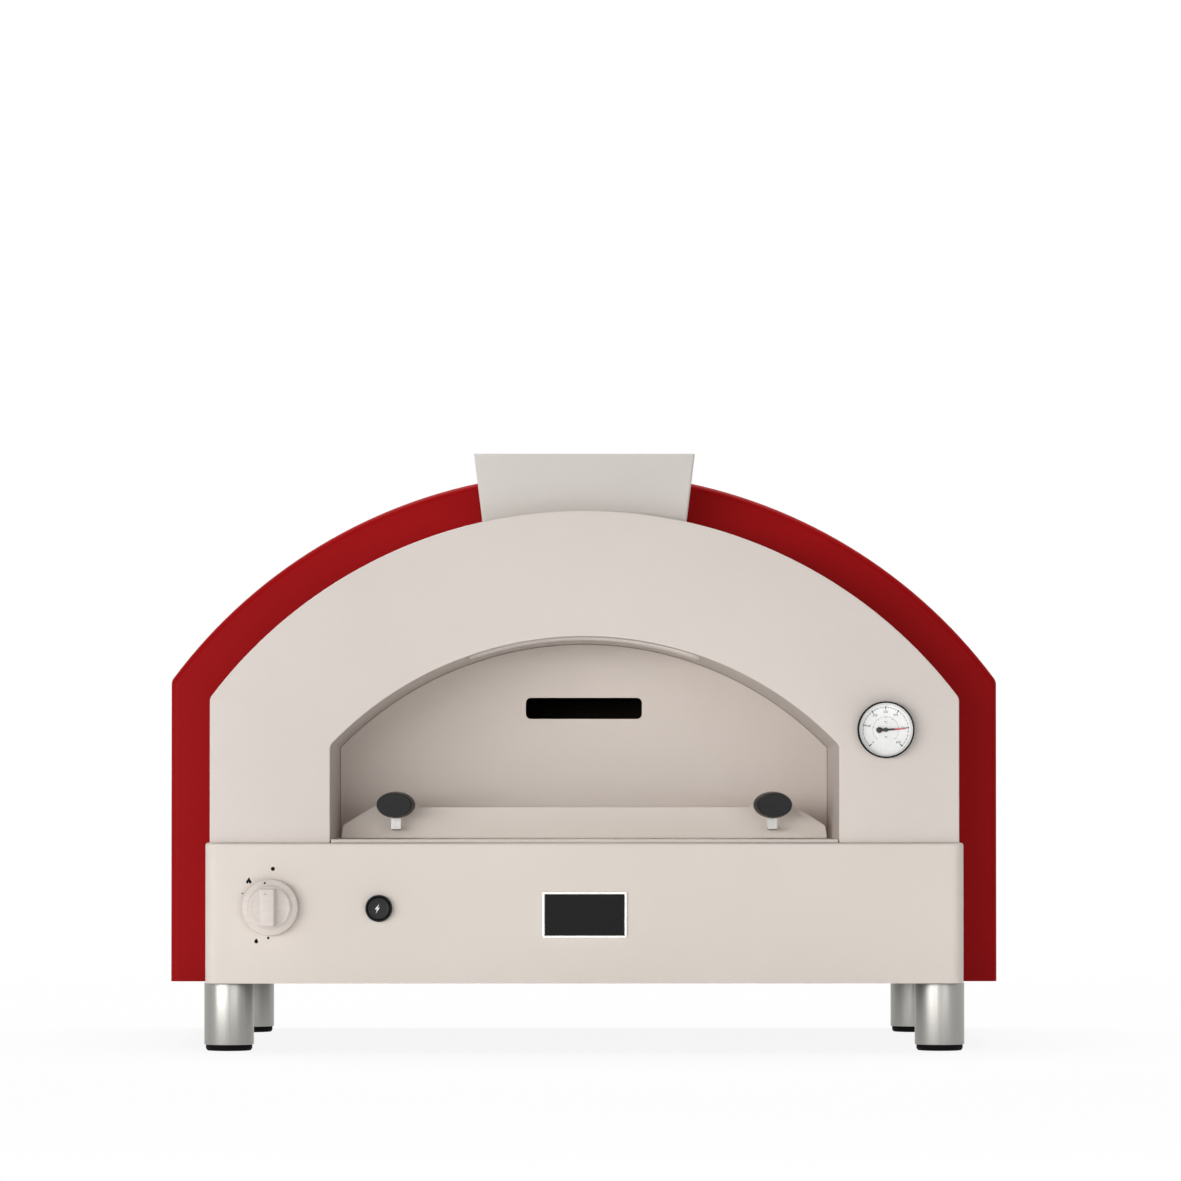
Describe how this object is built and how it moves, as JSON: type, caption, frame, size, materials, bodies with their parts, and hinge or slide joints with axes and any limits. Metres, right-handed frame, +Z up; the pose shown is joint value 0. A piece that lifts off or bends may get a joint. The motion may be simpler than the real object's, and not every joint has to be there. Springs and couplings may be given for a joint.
{
  "type": "portable pizza oven",
  "caption": "Free-standing gas pizza oven with a red insulated vault, pale arched front, flared flue hood, lift-out slotted door, control knob, igniter and thermometer.",
  "frame": {"origin": "on the floor under the middle of the whole oven", "axes": "+X to the right seen from the front, the mouth faces -Y, +Z up"},
  "size_m": [0.8148, 0.607, 0.5806],
  "materials": {
    "cream_paint": "satin powder coat",
    "red_paint": "satin powder coat",
    "stainless": "brushed",
    "dark_steel": "dull",
    "badge_dark": "dark anodised",
    "brass_fitting": "machined",
    "copper_pipe": "drawn",
    "black_gloss": "semi gloss",
    "cream_knob": "satin",
    "black_rubber": "moulded",
    "lead_sleeve": "matt",
    "insulation_wool": "felted fibre",
    "baking_stone": "unglazed ceramic",
    "ceramic": "glazed ceramic",
    "dial_white": "printed enamel",
    "clear_glass": "clear"
  },
  "bodies": {
    "oven_body": {"base_tray": "dark_steel", "control_fascia": "cream_paint", "foot_tube_front_left": "stainless", "foot_pad_front_left": "black_rubber", "foot_tube_rear_left": "stainless", "foot_pad_rear_left": "black_rubber", "foot_tube_front_right": "stainless", "foot_pad_front_right": "black_rubber", "foot_tube_rear_right": "stainless", "foot_pad_rear_right": "black_rubber", "badge_frame": "stainless", "badge_plate": "badge_dark", "front_arch_plate": "cream_paint", "front_arch_skirt": "cream_paint", "throat_arch": "cream_paint", "mouth_sill": "cream_paint", "flue_duct": "cream_paint", "flue_hood": "cream_paint", "shell_front_panel": "red_paint", "shell_skin": "red_paint", "rear_panel": "red_paint", "floor_rail_left": "dark_steel", "floor_rail_right": "dark_steel", "chamber_front_frame": "stainless", "inner_vault": "stainless", "chamber_rear_wall": "stainless", "insulation_blanket": "insulation_wool", "floor_pan": "stainless", "insulation_board": "insulation_wool", "floor_tile_left": "baking_stone", "floor_tile_right": "baking_stone", "burner_tube": "stainless", "burner_saddle": "stainless", "flame_guard": "stainless", "gas_valve_body": "brass_fitting", "supply_pipe": "copper_pipe", "burner_feed_pipe": "copper_pipe", "injector_nozzle": "brass_fitting", "gas_inlet_fitting": "brass_fitting", "igniter_housing": "black_gloss", "igniter_nut": "stainless", "igniter_lead": "lead_sleeve", "spark_electrode": "ceramic", "gauge_case": "dark_steel", "gauge_bezel": "dark_steel", "gauge_dial": "dial_white", "gauge_glass": "clear_glass", "gauge_stem": "stainless", "gauge_nut": "stainless"},
    "valve_plunger": {"valve_plunger": "stainless"},
    "control_knob": {"control_knob": "cream_knob", "knob_insert": "brass_fitting"},
    "igniter_button": {"igniter_button": "black_gloss"},
    "gauge_needle": {"gauge_needle": "black_gloss"},
    "door": {"door_panel": "cream_paint", "door_handle_plate": "cream_paint", "door_stem_left": "stainless", "door_stem_right": "stainless", "door_knob_left": "black_gloss", "door_knob_right": "black_gloss"}
  },
  "joints": [
    {"name": "knob_push", "type": "slide", "parent": "oven_body", "child": "valve_plunger", "axis": [0, 1, 0], "range_m": [0, 0.004], "stiffness_N_per_m": 300},
    {"name": "knob_turn", "type": "hinge", "parent": "valve_plunger", "child": "control_knob", "pos_m": [-0.3047, -0.29, 0.14], "axis": [0, -1, 0], "range_deg": [0, 160]},
    {"name": "igniter_press", "type": "slide", "parent": "oven_body", "child": "igniter_button", "axis": [0, 1, 0], "range_m": [0, 0.003], "stiffness_N_per_m": 300},
    {"name": "needle_turn", "type": "hinge", "parent": "oven_body", "child": "gauge_needle", "pos_m": [0.2924, -0.273, 0.3119], "axis": [0, -1, 0], "range_deg": [-48, 222]},
    {"name": "door_pull", "type": "slide", "parent": "oven_body", "child": "door", "axis": [0, -1, 0], "range_m": [0, 0.2]}
  ]
}
